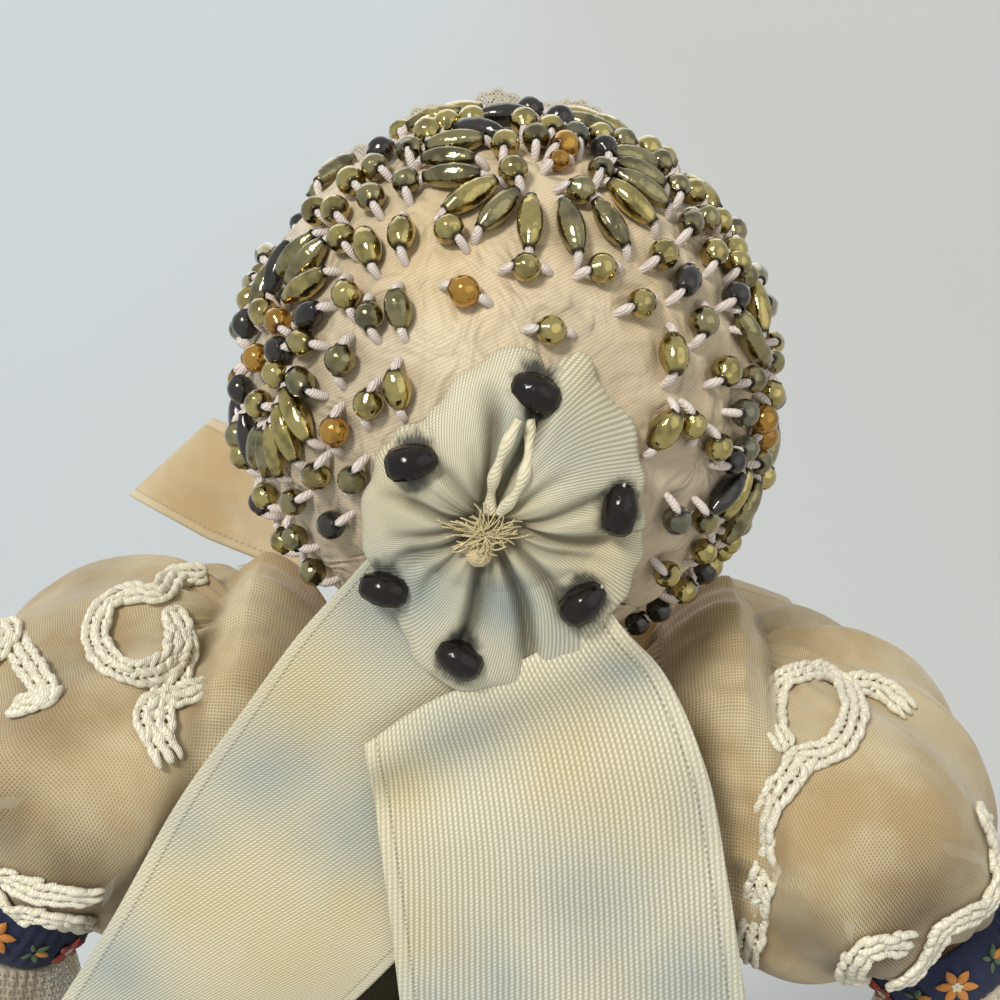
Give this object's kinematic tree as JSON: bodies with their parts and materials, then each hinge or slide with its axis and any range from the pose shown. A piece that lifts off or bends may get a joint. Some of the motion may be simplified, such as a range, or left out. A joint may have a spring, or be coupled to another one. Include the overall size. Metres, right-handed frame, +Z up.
{
  "type": "doll",
  "caption": "Strung celluloid doll with turning head, arms and legs, in a beaded satin bonnet with ribbon rosette and tails, balloon sleeves, bodice, skirt and apron.",
  "frame": {"origin": "centre of the ground rectangle under the standing doll, on the plane of its soles", "axes": "+Z up along the doll, -Y the way the doll faces, +X to the doll's own left"},
  "size_m": [0.1584, 0.1234, 0.3096],
  "materials": {
    "celluloid": "semi-gloss moulded celluloid",
    "blush_satin": "fine satin with sewn metallised beads",
    "rosette_satin": "gathered ribbon satin",
    "tail_satin": "woven ribbon with selvedges",
    "cream_satin": "glossy satin ribbon",
    "organza": "sheer open-weave organza",
    "lace": "cotton lace and crochet cord",
    "dark_cloth": "dark wool cloth",
    "skirt_cloth": "dark brown pleated wool",
    "linen": "plain cotton",
    "embroidery": "dark cloth with coloured embroidery",
    "dark_bead": "polished dark grey",
    "thread": "frayed yellow-cream thread",
    "elastic": "covered round elastic",
    "shoe_leather": "smooth black leather",
    "sole_leather": "plain brown leather",
    "button_brass": "polished"
  },
  "bodies": {
    "torso": {"torso_shell": "celluloid", "arm_elastic": "elastic", "leg_elastic": "elastic", "head_elastic": "elastic", "blouse": "organza", "collar_frill": "lace", "neck_ribbon": "cream_satin", "neck_knot": "cream_satin", "neck_loop_left": "cream_satin", "neck_loop_right": "cream_satin", "bodice": "dark_cloth", "waistband": "dark_cloth", "skirt": "skirt_cloth", "petticoat": "linen", "apron": "linen", "apron_band": "cream_satin", "apron_knot": "cream_satin", "apron_loop_left": "cream_satin", "apron_loop_right": "cream_satin", "apron_end_left": "cream_satin", "apron_end_right": "cream_satin"},
    "head": {"head_shell": "celluloid", "bonnet": "blush_satin", "face_frill": "lace", "rosette": "rosette_satin", "rosette_knot": "thread", "rosette_bead_1": "dark_bead", "rosette_bead_2": "dark_bead", "rosette_bead_3": "dark_bead", "rosette_bead_4": "dark_bead", "rosette_bead_5": "dark_bead", "rosette_bead_6": "dark_bead", "tail_left": "tail_satin", "tail_right": "tail_satin"},
    "arm_left": {"arm_shell_left": "celluloid", "sleeve_left": "organza", "sleeve_scroll_left": "lace", "cuff_left": "embroidery", "flounce_left": "embroidery"},
    "arm_right": {"arm_shell_right": "celluloid", "sleeve_right": "organza", "sleeve_scroll_right": "lace", "cuff_right": "embroidery", "flounce_right": "embroidery"},
    "leg_left": {"leg_shell_left": "celluloid", "sock_left": "linen", "shoe_upper_left": "shoe_leather", "shoe_sole_left": "sole_leather", "shoe_strap_left": "shoe_leather", "strap_button_left": "button_brass"},
    "leg_right": {"leg_shell_right": "celluloid", "sock_right": "linen", "shoe_upper_right": "shoe_leather", "shoe_sole_right": "sole_leather", "shoe_strap_right": "shoe_leather", "strap_button_right": "button_brass"}
  },
  "joints": [
    {"name": "neck_turn", "type": "hinge", "parent": "torso", "child": "head", "pos_m": [0, 0, 0.247], "axis": [0, 0, 1], "range_deg": [-45, 45], "deforming": ["tail_left", "tail_right"]},
    {"name": "shoulder_left", "type": "hinge", "parent": "torso", "child": "arm_left", "pos_m": [0.021, 0, 0.235], "axis": [-1, 0, 0], "range_deg": [-30, 90]},
    {"name": "shoulder_right", "type": "hinge", "parent": "torso", "child": "arm_right", "pos_m": [-0.021, 0, 0.235], "axis": [-1, 0, 0], "range_deg": [-30, 90]},
    {"name": "hip_left", "type": "hinge", "parent": "torso", "child": "leg_left", "pos_m": [0.012, 0, 0.126], "axis": [-1, 0, 0], "range_deg": [-24, 24]},
    {"name": "hip_right", "type": "hinge", "parent": "torso", "child": "leg_right", "pos_m": [-0.012, 0, 0.126], "axis": [-1, 0, 0], "range_deg": [-24, 24]}
  ]
}
